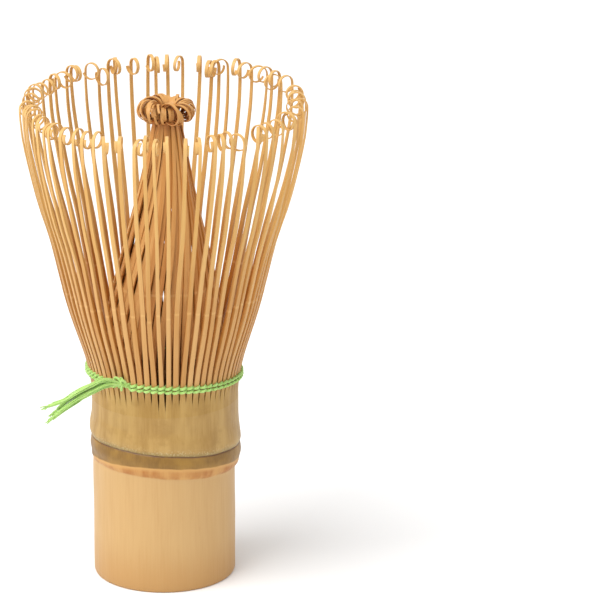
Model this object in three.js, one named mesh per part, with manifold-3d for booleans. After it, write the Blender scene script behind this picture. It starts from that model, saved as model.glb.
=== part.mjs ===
// Bamboo tea whisk: one culm whose upper end is split into fine tines, bound by two rows of thread.
// Units are millimetres, +Z is up, and the origin is the centre of the handle's bottom end.
import * as THREE from "three";
import { mergeVertices } from "three/addons/utils/BufferGeometryUtils.js";
import Module from "manifold-3d";

const wasm = await Module();
wasm.setup();

// ---------------------------------------------------------------- driving dimensions
const HANDLE_RADIUS = 15.2;
const HOLLOW_RADIUS = 11.6; // the open bore below the septum
const SEPTUM_BOTTOM = 26.5;
const SEPTUM_TOP = 29.0;
const UPPER_BORE_RADIUS = 10.0;
const HANDLE_TOP = 42.0; // where the culm wall passes into the split blocks
const GROOVE_HEIGHT = 30.4; // the sheath scar between the two ridges of the node
const NODE_RIDGE_RADIUS = 16.2;
const NODE_RISE_FRONT = 0.85; // the node leans: it is higher at the front (-Y)
const NODE_RISE_LEFT = 1.1; // and at the left (-X)
const WAIST_RADIUS = 15.7; // between the node and the slits
const EDGE_CHAMFER = 0.4;

const OUTER_TINES = 68;
const INNER_TINES = 48;
const OUTER_SECTIONS = 17;
const INNER_SECTIONS = 8;
const SLIT_ROOT = 43.9; // the slits end here, and the tines flex from here
const BLOCK_BOTTOM = HANDLE_TOP + 0.3;
const OUTER_BLOCK = { inner: 13.4, outer: 15.9 };
const INNER_BLOCK = { inner: 10.6, outer: 13.0 };
const BLOCK_GAP = 0.3;

const TINE_WIDTH_ROOT = 1.0;
const OUTER_WIDTH_TIP = 0.8;
const INNER_WIDTH_TIP = 0.27;
const OUTER_CURL_RADIUS = 1.72;
const OUTER_CURL_CENTRE = new THREE.Vector2(28.0, 106.4);
const INNER_CURL_RADIUS = 1.85;
const INNER_CURL_CENTRE = new THREE.Vector2(4.15, 104.5);
const SHAVED_STEP = 67; // above this height the outer skin of each tine is shaved away

const ROW_HEIGHTS = { thread_lower_row: 45.15, thread_upper_row: 46.15 };
const ROW_RADIUS = 17.3;
const ROW_RISE_FRONT = 0.95; // the rows lean too: they are higher at the front
const ROW_RISE_LEFT = 0.65; // and at the left
const HOOP_THICKNESS = 0.7;
const STRAND_THICKNESS = 0.6;
const KNOT_AZIMUTH = -121.5;
const KNOT_CENTRE = new THREE.Vector3(18.75, 0, 48.0); // before it turns to its azimuth
const KNOT_SIZE = new THREE.Vector3(0.75, 0.9, 1.5);

const rad = THREE.MathUtils.degToRad;
const smooth = THREE.MathUtils.smoothstep;
const lerp = THREE.MathUtils.lerp;

// ---------------------------------------------------------------- materials
function bamboo(color, roughness) {
  return new THREE.MeshStandardMaterial({ color, roughness, metalness: 0 });
}
const culmMaterial = bamboo(0xd0a868, 0.55);
const outerTineMaterial = bamboo(0xe0b268, 0.5);
const innerTineMaterial = bamboo(0xc8934a, 0.55);
const threadMaterial = bamboo(0x9fdc62, 0.85);

// ---------------------------------------------------------------- booleans
function toSolid(geometry) {
  const bare = geometry.index ? geometry.toNonIndexed() : geometry.clone();
  bare.deleteAttribute("normal");
  bare.deleteAttribute("uv");
  const merged = mergeVertices(bare, 1e-4);
  return new wasm.Manifold(
    new wasm.Mesh({
      numProp: 3,
      vertProperties: merged.attributes.position.array,
      triVerts: new Uint32Array(merged.index.array),
    }),
  );
}

function toGeometry(solid) {
  const mesh = solid.getMesh();
  const geometry = new THREE.BufferGeometry();
  geometry.setAttribute("position", new THREE.BufferAttribute(mesh.vertProperties, 3));
  geometry.setIndex(new THREE.BufferAttribute(mesh.triVerts, 1));
  geometry.computeVertexNormals();
  return geometry;
}

function joined(geometries) {
  return toGeometry(geometries.map(toSolid).reduce((whole, piece) => whole.add(piece)));
}

// ---------------------------------------------------------------- the culm
// The node leans, so everything near its height is lifted a little towards the front and the left.
function leanOfNode(x, y, z) {
  const share = smooth(z, 8, 22) * (1 - smooth(z, 33, HANDLE_TOP - 1));
  return (share * (-y * NODE_RISE_FRONT - x * NODE_RISE_LEFT)) / HANDLE_RADIUS;
}

function culmGeometry() {
  const profile = [
    [0, SEPTUM_BOTTOM],
    [HOLLOW_RADIUS - 2, SEPTUM_BOTTOM - 0.4],
    [HOLLOW_RADIUS, SEPTUM_BOTTOM - 2.4],
    [HOLLOW_RADIUS, EDGE_CHAMFER],
    [HOLLOW_RADIUS + EDGE_CHAMFER, 0],
    [HANDLE_RADIUS - EDGE_CHAMFER, 0],
    [HANDLE_RADIUS, EDGE_CHAMFER],
    [HANDLE_RADIUS, 12],
    [HANDLE_RADIUS, 24.6],
    [HANDLE_RADIUS + 0.3, 25.6],
    [NODE_RIDGE_RADIUS - 0.2, 27.8],
    [NODE_RIDGE_RADIUS, GROOVE_HEIGHT - 1.3],
    [NODE_RIDGE_RADIUS - 0.5, GROOVE_HEIGHT],
    [NODE_RIDGE_RADIUS, GROOVE_HEIGHT + 1.6],
    [NODE_RIDGE_RADIUS - 0.2, GROOVE_HEIGHT + 3.2],
    [WAIST_RADIUS, 37],
    [OUTER_BLOCK.outer, HANDLE_TOP],
    [UPPER_BORE_RADIUS, HANDLE_TOP],
    [UPPER_BORE_RADIUS, SEPTUM_TOP + 1.5],
    [UPPER_BORE_RADIUS - 1.5, SEPTUM_TOP + 0.3],
    [0, SEPTUM_TOP],
  ];
  const points = profile.map(([radius, height]) => new THREE.Vector2(radius, height));
  const geometry = new THREE.LatheGeometry(points, 48).rotateX(Math.PI / 2);
  const place = geometry.attributes.position;
  for (let i = 0; i < place.count; i++) {
    const [x, y, z] = [place.getX(i), place.getY(i), place.getZ(i)];
    place.setZ(i, z + leanOfNode(x, y, z));
  }
  return toGeometry(toSolid(geometry));
}

// ---------------------------------------------------------------- tines
// A block is the stretch of culm wall that a section's tines are still joined to.
function blockGeometry({ inner, outer }, sections) {
  const half = (radius) => Math.PI / sections - BLOCK_GAP / 2 / radius;
  const shape = new THREE.Shape();
  shape.absarc(0, 0, outer, -half(outer), half(outer), false);
  shape.absarc(0, 0, inner, half(inner), -half(inner), true);
  return new THREE.ExtrudeGeometry(shape, {
    depth: SLIT_ROOT - BLOCK_BOTTOM,
    bevelEnabled: false,
    curveSegments: 3,
  }).translate(0, 0, BLOCK_BOTTOM);
}

// The centre line of a tine, in the plane of radius and height: a stem, then a curl.
function centreLine(stem, curl) {
  const line = stem.map(([r, z]) => new THREE.Vector2(r, z));
  const arc = new THREE.EllipseCurve(
    curl.centre.x, curl.centre.y, curl.radius, curl.radius,
    rad(curl.from), rad(curl.to), curl.clockwise,
  );
  return [...line, ...arc.getPoints(curl.steps)];
}

// A tine along that line: its outline lies in the radial plane, and it is drawn out sideways.
function tineGeometry(line, thicknessAt, widthAt) {
  const [outside, inside] = [[], []];
  line.forEach((point, i) => {
    const before = line[Math.max(i - 1, 0)];
    const after = line[Math.min(i + 1, line.length - 1)];
    const along = after.clone().sub(before).normalize();
    const across = new THREE.Vector2(along.y, -along.x);
    const half = thicknessAt(point.y, i / (line.length - 1)) / 2;
    outside.push(point.clone().addScaledVector(across, half));
    inside.push(point.clone().addScaledVector(across, -half));
  });
  const outline = new THREE.Shape([...outside, ...inside.reverse()]);
  const geometry = new THREE.ExtrudeGeometry(outline, { depth: 1, bevelEnabled: false })
    .translate(0, 0, -0.5)
    .rotateX(Math.PI / 2);
  const place = geometry.attributes.position;
  for (let i = 0; i < place.count; i++)
    place.setY(i, place.getY(i) * widthAt(place.getZ(i)));
  return geometry;
}

function sectionGeometry(block, tine, tines, sections) {
  const pieces = [blockGeometry(block, sections)];
  const share = tines / sections;
  for (let i = 0; i < share; i++) {
    const turn = (i - (share - 1) / 2) * (360 / tines);
    pieces.push(tine.clone().rotateZ(rad(turn)));
  }
  return joined(pieces);
}

// Outer tines flare out like a bell, and their tips curl over towards the middle.
function outerSectionGeometry() {
  const stem = [
    [14.95, SLIT_ROOT - 0.8],
    [15.35, SLIT_ROOT + 1.4],
    [17.5, 52.5],
    [22.2, 67.5],
    [26.7, 84.5],
    [29.2, 97],
  ];
  const curl = {
    centre: OUTER_CURL_CENTRE,
    radius: OUTER_CURL_RADIUS,
    from: 0,
    to: 275,
    clockwise: false,
    steps: 6,
  };
  const thickness = (z, share) =>
    lerp(1.3, 0.75, smooth(z, SLIT_ROOT, 60)) -
    0.15 * smooth(z, SHAVED_STEP - 3, SHAVED_STEP + 3) -
    0.25 * smooth(share, 0.45, 0.8);
  const width = (z) => lerp(TINE_WIDTH_ROOT, OUTER_WIDTH_TIP, smooth(z, 50, 105));
  const tine = tineGeometry(centreLine(stem, curl), thickness, width);
  return sectionGeometry(OUTER_BLOCK, tine, OUTER_TINES, OUTER_SECTIONS);
}

// Inner tines lean together into a cone and curl outwards, so that their tips make one knob.
function innerSectionGeometry() {
  const stem = [
    [12.0, SLIT_ROOT - 0.8],
    [12.3, 49],
    [11.5, 62],
    [6.9, 84],
    [3.7, 96.5],
    [2.9, 100.8],
  ];
  const curl = {
    centre: INNER_CURL_CENTRE,
    radius: INNER_CURL_RADIUS,
    from: 168,
    to: -100,
    clockwise: true,
    steps: 5,
  };
  const thickness = (z) => lerp(0.9, 0.42, smooth(z, SLIT_ROOT, 80));
  const width = (z) => lerp(TINE_WIDTH_ROOT, INNER_WIDTH_TIP, smooth(z, 50, 98));
  const tine = tineGeometry(centreLine(stem, curl), thickness, width);
  return sectionGeometry(INNER_BLOCK, tine, INNER_TINES, INNER_SECTIONS);
}

// ---------------------------------------------------------------- thread
function roundSection(diameter, sides) {
  const corners = [...Array(sides).keys()].map((i) => {
    const angle = (i / sides) * 2 * Math.PI;
    return new THREE.Vector2(Math.cos(angle), Math.sin(angle)).multiplyScalar(diameter / 2);
  });
  return new THREE.Shape(corners);
}

function hoopGeometry(height) {
  const section = roundSection(HOOP_THICKNESS, 8).getPoints();
  const ring = section.map((p) => new THREE.Vector2(ROW_RADIUS + p.x, p.y));
  const profile = [...ring, ring[0]];
  const geometry = new THREE.LatheGeometry(profile, 44).rotateX(Math.PI / 2);
  const place = geometry.attributes.position;
  for (let i = 0; i < place.count; i++) {
    const lean = (-place.getY(i) * ROW_RISE_FRONT - place.getX(i) * ROW_RISE_LEFT) / ROW_RADIUS;
    place.setZ(i, place.getZ(i) + height + lean);
  }
  return geometry;
}

function knotGeometry() {
  return new THREE.SphereGeometry(1, 12, 8)
    .scale(KNOT_SIZE.x, KNOT_SIZE.y, KNOT_SIZE.z)
    .translate(KNOT_CENTRE.x, KNOT_CENTRE.y, KNOT_CENTRE.z)
    .rotateZ(rad(KNOT_AZIMUTH));
}

// The loose ends leave the knot side by side, towards the left and down.
const TAILS = {
  thread_tail_1: [
    [-11.9, -17.0, 49.3], [-14.9, -18.1, 48.6], [-17.9, -18.9, 47.4],
    [-20.8, -19.5, 45.7], [-24.2, -19.9, 44.6],
  ],
  thread_tail_2: [
    [-11.8, -16.2, 48.8], [-14.7, -17.3, 48.0], [-17.6, -18.1, 46.8],
    [-20.4, -18.7, 45.2], [-22.3, -19.1, 43.6],
  ],
  thread_tail_3: [
    [-11.8, -17.0, 48.3], [-14.5, -18.1, 47.5], [-17.3, -18.9, 46.3],
    [-20.1, -19.5, 44.6], [-22.7, -19.9, 42.6],
  ],
  thread_tail_4: [
    [-11.7, -16.2, 47.8], [-14.3, -17.3, 46.9], [-17.0, -18.1, 45.8],
    [-19.8, -18.7, 44.1], [-23.4, -19.1, 41.5],
  ],
};

function tailGeometry(route) {
  const path = new THREE.CatmullRomCurve3(route.map((p) => new THREE.Vector3(...p)));
  return new THREE.ExtrudeGeometry(roundSection(STRAND_THICKNESS, 8), {
    steps: 8,
    extrudePath: path,
  });
}

// ---------------------------------------------------------------- assembly
const whisk = new THREE.Group();

function place(name, geometry, material, azimuth = 0) {
  const mesh = new THREE.Mesh(geometry, material);
  mesh.name = name;
  mesh.rotation.z = rad(azimuth);
  whisk.add(mesh);
}

function placeSections(name, geometry, material, sections) {
  for (let i = 0; i < sections; i++) {
    const azimuth = ((i + 0.5) * 360) / sections;
    place(name + "_" + String(i + 1).padStart(2, "0"), geometry, material, azimuth);
  }
}

place("handle_culm", culmGeometry(), culmMaterial);

placeSections("outer_tines", outerSectionGeometry(), outerTineMaterial, OUTER_SECTIONS);
placeSections("inner_tines", innerSectionGeometry(), innerTineMaterial, INNER_SECTIONS);

for (const [name, height] of Object.entries(ROW_HEIGHTS))
  place(name, hoopGeometry(height), threadMaterial);
place("thread_knot", knotGeometry(), threadMaterial);
for (const [name, route] of Object.entries(TAILS))
  place(name, tailGeometry(route), threadMaterial);

export default whisk;
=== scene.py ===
# %% [markdown]
# # A bamboo tea whisk
#
# The real whisk is one short piece of bamboo and one length of thread. The lower half of the bamboo
# is left whole, as the handle. The upper half is split into a little over a hundred tines, which are
# shaved thin, bent into an outer ring and an inner bundle, and curled at their tips.
#
# This script follows the maker's own order: cut the handle, shave one straight tine, copy it, bend
# each copy on its own slightly different route, and bind the whole with two rows of twined thread.
# The measured model is loaded first, and every new piece is placed by it.

# %% Load the measured frame
import math
import random

import bpy
import numpy as np
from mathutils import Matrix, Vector


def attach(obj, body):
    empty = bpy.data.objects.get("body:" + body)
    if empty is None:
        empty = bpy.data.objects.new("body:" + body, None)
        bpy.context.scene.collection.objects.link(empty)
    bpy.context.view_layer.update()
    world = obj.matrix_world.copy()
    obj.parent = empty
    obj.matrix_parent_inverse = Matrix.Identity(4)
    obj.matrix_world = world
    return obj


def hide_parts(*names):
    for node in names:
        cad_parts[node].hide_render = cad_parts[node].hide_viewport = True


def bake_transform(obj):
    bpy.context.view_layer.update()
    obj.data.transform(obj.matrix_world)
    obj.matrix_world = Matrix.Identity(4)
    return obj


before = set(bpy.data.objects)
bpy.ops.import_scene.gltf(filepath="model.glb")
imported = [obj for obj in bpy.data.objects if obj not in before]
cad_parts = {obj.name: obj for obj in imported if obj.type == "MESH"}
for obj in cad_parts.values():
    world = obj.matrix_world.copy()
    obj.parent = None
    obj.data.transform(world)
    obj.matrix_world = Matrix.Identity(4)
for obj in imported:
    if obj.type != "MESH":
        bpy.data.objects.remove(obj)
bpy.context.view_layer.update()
MM = 0.001

# %% [markdown]
# ## The camera
#
# A long lens far away keeps the handle's sides nearly parallel. The camera looks down on the whisk by
# about twenty degrees, so that both the near and the far side of the ring of curls can be seen. It is
# turned a little to the right of the whisk, which therefore stands left of the middle.

# %% Place the camera
CAMERA_PLACE = Vector((0, -0.960, 0.390))
CAMERA_AIM = Vector((0.0293, 0, 0.0608))
CAMERA_LENS = 286
SENSOR_WIDTH = 36

camera_data = bpy.data.cameras.new("front_camera")
camera_data.lens = CAMERA_LENS
camera_data.sensor_width = SENSOR_WIDTH
camera = bpy.data.objects.new("front_camera", camera_data)
bpy.context.scene.collection.objects.link(camera)
camera.location = CAMERA_PLACE
camera.rotation_euler = (CAMERA_AIM - CAMERA_PLACE).to_track_quat("-Z", "Y").to_euler()
bpy.context.scene.camera = camera
print("camera distance", round((CAMERA_AIM - CAMERA_PLACE).length, 3), "m")

# %% [markdown]
# ## The thread
#
# A single thread is wound round the outer tines in two rows. In each row two legs of it are twined:
# while one leg passes in front of a tine the other passes behind it, and they change places in every
# gap. That is why a row looks like a chain of small slanted stitches, one on each tine.
#
# A bevelled circle along a ring would be quick, but it gives a smooth hoop. Here each leg follows a
# wave in and out of the tines, and its section is three plies that turn as they run, so the twist of
# the thread is real shape. Each leg ends in one of the four loose tails at the knot.

# %% Where the thread runs
TINES = 68
TINE_PITCH = 2 * math.pi / TINES
THREAD_DIAMETER = 0.66 * MM
WEAVE_RADIUS = 15.78 * MM
WEAVE_DEPTH = 0.92 * MM
WEAVE_RISE = 0.2 * MM
ROW_HEIGHTS = {"upper": 46.07 * MM, "lower": 45.23 * MM}
ROW_RISE_FRONT = 0.95 * MM
ROW_RISE_LEFT = 0.65 * MM
ROW_FLARE = 0.2
ROW_STEPS = TINES * 8
TAIL_STEPS = 6
KNOT_AZIMUTH = math.radians(-121.5)
KNOT_RADIUS = 17.6 * MM
KNOT_LEVEL = 47.7 * MM

# Above its node the culm stands this much further to the right.
CULM_SHIFT = 0.4 * MM
KNOT_PLACE = Vector((
    CULM_SHIFT + KNOT_RADIUS * math.cos(KNOT_AZIMUTH),
    KNOT_RADIUS * math.sin(KNOT_AZIMUTH),
    KNOT_LEVEL,
))

# The shares of a row between which a leg comes away from the knot and into the weave.
KNOT_HOLDS = (0.001, 0.018)

# The loose tails leave the knot side by side, to the left and down. Millimetres.
TAILS = {
    "upper_front": [
        [-11.9, -17.0, 49.3], [-14.9, -18.1, 48.6], [-17.9, -18.9, 47.4],
        [-20.8, -19.5, 45.7], [-24.2, -19.9, 44.6],
    ],
    "upper_back": [
        [-11.8, -16.2, 48.8], [-14.7, -17.3, 48.0], [-17.6, -18.1, 46.8],
        [-20.4, -18.7, 45.2], [-22.3, -19.1, 43.6],
    ],
    "lower_front": [
        [-11.8, -17.0, 48.3], [-14.5, -18.1, 47.5], [-17.3, -18.9, 46.3],
        [-20.1, -19.5, 44.6], [-22.7, -19.9, 42.6],
    ],
    "lower_back": [
        [-11.7, -16.2, 47.8], [-14.3, -17.3, 46.9], [-17.0, -18.1, 45.8],
        [-19.8, -18.7, 44.1], [-23.4, -19.1, 41.5],
    ],
}


def ease(value, low, high):
    """0 below low, 1 above high, and a smooth step between them."""
    share = np.clip((np.asarray(value, float) - low) / (high - low), 0, 1)
    return share * share * (3 - 2 * share)


def smooth_line(points, steps):
    """A Catmull-Rom curve through the points, with so many steps between each two."""
    points = np.array(points, float)
    padded = np.vstack([2 * points[0] - points[1], points, 2 * points[-1] - points[-2]])
    line = []
    for a, b, c, d in zip(padded, padded[1:], padded[2:], padded[3:]):
        for t in np.arange(steps) / steps:
            line.append(0.5 * (2 * b + (c - a) * t + (2 * a - 5 * b + 4 * c - d) * t**2
                               + (3 * b - a - 3 * c + d) * t**3))
    return np.array(line + [points[-1]])


def line_length(points):
    return float(np.linalg.norm(np.diff(np.array(points, float), axis=0), axis=1).sum())


def row_lean(azimuth):
    """How far a row is lifted: like the node, it is higher at the front and at the left."""
    return -ROW_RISE_FRONT * math.sin(azimuth) - ROW_RISE_LEFT * math.cos(azimuth)


def twined_leg(row, side, tail):
    """One leg of a row: out of the knot, once round through the tines, and out along its tail."""
    points = []
    for i in range(ROW_STEPS + 1):
        share = i / ROW_STEPS
        azimuth = KNOT_AZIMUTH - 2 * math.pi * share
        wave = math.pi * (azimuth / TINE_PITCH - 0.5)
        lean = row_lean(azimuth)
        radius = WEAVE_RADIUS + ROW_FLARE * lean + side * WEAVE_DEPTH * math.cos(wave)
        height = ROW_HEIGHTS[row] + lean + side * WEAVE_RISE * math.sin(wave)
        woven = Vector((CULM_SHIFT + radius * math.cos(azimuth), radius * math.sin(azimuth), height))
        held = float(ease(min(share, 1 - share), *KNOT_HOLDS))
        points.append(KNOT_PLACE.lerp(woven, held))
    loose = smooth_line([KNOT_PLACE / MM] + tail, TAIL_STEPS) * MM
    return [tuple(p) for p in points] + [tuple(p) for p in loose[1:]]


print("a row is", round(2 * math.pi * WEAVE_RADIUS / MM), "mm round")

# %% A section of three plies, and a thread swept along a line
PLIES = 3
PLY_PITCH = 2.3 * MM
LOOSENS_FROM = 0.97

# How far out the four points of one ply stand, as shares of the thread's radius.
PLY_PROFILE = (0.72, 1.0, 1.0, 0.86)


def select_only(piece):
    bpy.ops.object.select_all(action="DESELECT")
    bpy.context.view_layer.objects.active = piece
    piece.select_set(True)


def plies_outline(diameter):
    """A closed curve with three round lobes, one for each ply."""
    outline = bpy.data.curves.new("plies", "CURVE")
    outline.dimensions = "2D"
    shares = PLY_PROFILE * PLIES
    lobes = outline.splines.new("POLY")
    lobes.points.add(len(shares) - 1)
    lobes.use_cyclic_u = True
    for i, (point, share) in enumerate(zip(lobes.points, shares)):
        angle = 2 * math.pi * i / len(shares)
        radius = diameter / 2 * share
        point.co = (radius * math.cos(angle), radius * math.sin(angle), 0, 1)
    made = bpy.data.objects.new("plies", outline)
    bpy.context.scene.collection.objects.link(made)
    return made


def lay_thread(name, lines, diameter, closed=False, loosen=0.0, turns=True):
    """Sweeps the plies along each line, turning as they go, and makes the result a mesh."""
    outline = plies_outline(diameter)
    curve = bpy.data.curves.new(name, "CURVE")
    curve.dimensions = "3D"
    for line in lines:
        spline = curve.splines.new("POLY")
        spline.points.add(len(line) - 1)
        spline.use_cyclic_u = closed
        run = 0
        for i, point in enumerate(spline.points):
            run += (Vector(line[i]) - Vector(line[i - 1])).length if i else 0
            point.co = (*line[i], 1)
            point.tilt = 2 * math.pi * run / PLY_PITCH if turns else 0
            point.radius = 1 + loosen * float(ease(i, LOOSENS_FROM * len(line), len(line)))
    curve.bevel_mode = "OBJECT"
    curve.bevel_object = outline
    curve.use_fill_caps = True
    made = bpy.data.objects.new(name, curve)
    bpy.context.scene.collection.objects.link(made)
    select_only(made)
    bpy.ops.object.convert(target="MESH")
    made = bpy.context.object
    bpy.data.objects.remove(outline)
    bpy.ops.object.shade_smooth()
    return made


CAD_THREAD = {
    "upper_front": ["thread_upper_row", "thread_tail_1"],
    "upper_back": ["thread_tail_2"],
    "lower_front": ["thread_lower_row", "thread_tail_3"],
    "lower_back": ["thread_tail_4"],
}
thread_legs = {}
leg_lines = {}
for leg, tail in TAILS.items():
    row, place = leg.split("_")
    line = twined_leg(row, 1 if place == "front" else -1, tail)
    piece = lay_thread(f"thread_{leg}_leg", [line], THREAD_DIAMETER, loosen=0.2)
    thread_legs[leg] = piece
    leg_lines[leg] = line
    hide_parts(*CAD_THREAD[leg])
    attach(piece, "handle")
    print(piece.name, "is", round(line_length(line), 4), "m long")

# %% [markdown]
# ## The knot
#
# The legs meet in one small hard knot. A ball would hide that it is tied, so the knot is a real one:
# a thread led three times through itself, pressed flat against the tines, with a short loop of the
# same thread standing out above it.

# %% Tie the knot
KNOT_WIDTH = 0.25 * MM
KNOT_HEIGHT = 0.46 * MM
KNOT_DEPTH = 0.5 * MM
KNOT_THREAD = 0.62 * MM
KNOT_STEPS = 72
LOOP_START = 0.5 * MM
LOOP_REACH = 1.7 * MM
LOOP_SWING = 0.5 * MM
LOOP_TILT = 0.5
LOOP_STEPS = 40

# Which way the small loop stands: outwards, sideways and upwards.
LOOP_WAY = (0.2, -0.55, 0.85)
radial = Vector((math.cos(KNOT_AZIMUTH), math.sin(KNOT_AZIMUTH), 0))
sideways = Vector((-math.sin(KNOT_AZIMUTH), math.cos(KNOT_AZIMUTH), 0))
upward = Vector((0, 0, 1))


def on_knot(out, side, up):
    """A point near the knot, given outwards, sideways and upwards from its middle."""
    return tuple(KNOT_PLACE + radial * out + sideways * side + upward * up)


def overhand_line():
    line = []
    for i in range(KNOT_STEPS):
        t = 2 * math.pi * i / KNOT_STEPS
        side = KNOT_WIDTH * (math.sin(t) + 2 * math.sin(2 * t))
        up = KNOT_HEIGHT * (math.cos(t) - 2 * math.cos(2 * t))
        line.append(on_knot(-KNOT_DEPTH * math.sin(3 * t), side, up))
    return line


def small_loop_line():
    line = []
    for i in range(LOOP_STEPS):
        t = 2 * math.pi * i / LOOP_STEPS
        out, side, up = (share * LOOP_REACH * (1 - math.cos(t)) / 2 for share in LOOP_WAY)
        swing = LOOP_SWING * math.sin(t)
        line.append(on_knot(LOOP_START + out, side + swing, up + LOOP_TILT * swing))
    return line


knot = lay_thread("thread_knot_tied", [overhand_line(), small_loop_line()],
                  KNOT_THREAD, closed=True, turns=False)
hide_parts("thread_knot")
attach(knot, "handle")
print("the knot has", len(knot.data.polygons), "faces")

# %% [markdown]
# ## The frayed ends
#
# Cut cotton opens at its tip, and fine floss stands off all along a loose tail. A blunt end would
# look like wire. So a few thin fibres leave each tip, each on its own way, and a few more waver along
# the tail beside the thread.

# %% Fray the ends of the tails
FRAY_FIBRES = 9
FLOSS_FIBRES = 9
FIBRE_DIAMETER = 0.24 * MM
FIBRE_STEPS = 3

# Millimetres: how far past the tip a fibre goes, how far it spreads, and how the floss stands off.
FRAY_REACH = (0.4, 2.0)
FRAY_SPREAD = (0.15, 0.45)
FLOSS_SPREAD = 0.42
FLOSS_WAVER = 0.12

# The floss follows every fourth of the last points of a tail.
FLOSS_POINTS = 27
FLOSS_STRIDE = 4
fray_random = random.Random(5)


def drifting():
    return Vector([fray_random.uniform(-1, 1) for _ in range(3)])


def tip_fibre(back, tip):
    """A fibre that leaves the thread between back and its tip, and goes on past the tip."""
    along = (tip - back).normalized()
    drift = drifting()
    reach = fray_random.uniform(*FRAY_REACH) * MM
    spread = fray_random.uniform(*FRAY_SPREAD) * MM
    return [
        back.lerp(tip, 0.2),
        back.lerp(tip, 0.6),
        tip + drift * spread * 0.4,
        tip + along * reach * 0.6 + drift * spread,
        tip + along * reach + drift * spread * 1.3,
    ]


def floss_fibre(tail):
    drift = drifting() * FLOSS_SPREAD * MM
    return [Vector(p) + drift + drifting() * FLOSS_WAVER * MM for p in tail]


loose_ends = []
for line in leg_lines.values():
    for _ in range(FRAY_FIBRES):
        loose_ends.append(tip_fibre(Vector(line[-TAIL_STEPS]), Vector(line[-1])))
    for _ in range(FLOSS_FIBRES):
        loose_ends.append(floss_fibre(line[-FLOSS_POINTS::FLOSS_STRIDE]))
fray_lines = [[tuple(p) for p in smooth_line(fibre, FIBRE_STEPS)] for fibre in loose_ends]
frays = lay_thread("thread_frays", fray_lines, FIBRE_DIAMETER, turns=False)
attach(frays, "handle")

print("frayed fibres:", len(fray_lines))

# %% [markdown]
# ## The handle
#
# The handle is the whole stretch of the culm. Its lower part is scraped smooth. Above it stands a node:
# a sanded step, a low green ridge, the thin dark scar where a sheath leaf once grew, and a second
# ridge. Above the node the skin is left on, and at the top the slits begin.
#
# A cylinder with a bump map would look right only from the front. Here the wall's outline is drawn
# point by point by extruding one vertex, and then spun round the axis, so that every ridge is real
# shape. The node leans on a real culm, so the spun wall is then lifted towards the front and left.

# %% The outline of the culm's wall
HANDLE_RADIUS = 15.2
HANDLE_TOP = 40.0
FOOT_ROUNDING = 0.5
FOOT_CORNER = 0.3 * FOOT_ROUNDING
SCAR_HEIGHT = 30.4
SCAR_DEPTH = 0.16
SCAR_SPREAD = 0.15
HOLLOW_RADIUS = 11.6
SEPTUM_BOTTOM = 26.5
BORE_RADIUS = 10.0

# The height, then the radius, where the outer wall is locally widest or narrowest. Millimetres.
WALL_TURNS = [(FOOT_ROUNDING, HANDLE_RADIUS), (24.9, HANDLE_RADIUS), (26.3, 15.78), (28.5, 16.12),
              (SCAR_HEIGHT, 15.9), (31.7, 16.16), (36.5, 15.7), (HANDLE_TOP, 15.7)]


def wall_radius(height):
    """The outer radius at a height: smooth waves between the turns, and the scar's thin groove."""
    for (low, start), (high, end) in zip(WALL_TURNS, WALL_TURNS[1:]):
        if height <= high:
            radius = start + (end - start) * float(ease(height, low, high))
            break
    return radius - SCAR_DEPTH * math.exp(-(((height - SCAR_HEIGHT) / SCAR_SPREAD) ** 2))


# The steps up the wall are closest where it turns fastest, at the node and its scar.
wall_heights = np.concatenate([
    np.arange(FOOT_ROUNDING, 24, 1.8), np.arange(24.2, 29.6, 0.3), np.arange(29.7, 31, 0.1),
    np.arange(31.2, 34, 0.35), np.arange(34.5, 40.1, 0.5),
])

# The radius, then the height: the septum's underside, the hollow, the foot, the outer wall, and then the
# top, the bore and the septum's upper side.
outline = [(0, SEPTUM_BOTTOM), (5, 26.45), (9.4, 26.0), (10.9, 25.3), (11.5, 24.1),
           (HOLLOW_RADIUS, 22), (HOLLOW_RADIUS, 12), (HOLLOW_RADIUS, FOOT_ROUNDING),
           (HOLLOW_RADIUS + FOOT_CORNER, FOOT_CORNER), (HOLLOW_RADIUS + FOOT_ROUNDING, 0), (13.3, 0),
           (HANDLE_RADIUS - FOOT_ROUNDING, 0), (HANDLE_RADIUS - FOOT_CORNER, FOOT_CORNER)]
outline += [(wall_radius(height), height) for height in wall_heights]
outline += [(13.2, HANDLE_TOP), (BORE_RADIUS, HANDLE_TOP), (BORE_RADIUS, 35),
            (BORE_RADIUS, 30.8), (9.3, 29.6), (7.5, 29.2), (0, 29.0)]
print("outline points:", len(outline))

# %% Draw the outline and spin it


def in_edit_mode(piece):
    select_only(piece)
    bpy.ops.object.mode_set(mode="EDIT")


def vertices_of(piece):
    place = np.zeros(len(piece.data.vertices) * 3)
    piece.data.vertices.foreach_get("co", place)
    return place.reshape(-1, 3)


def move_vertices(piece, place):
    piece.data.vertices.foreach_set("co", np.asarray(place, float).ravel())
    piece.data.update()


def paint_value(piece, name, values):
    """Stores a number on each vertex, for the materials to read."""
    layer = piece.data.attributes.new(name, "FLOAT", "POINT")
    layer.data.foreach_set("value", np.asarray(values, np.float32))


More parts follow.
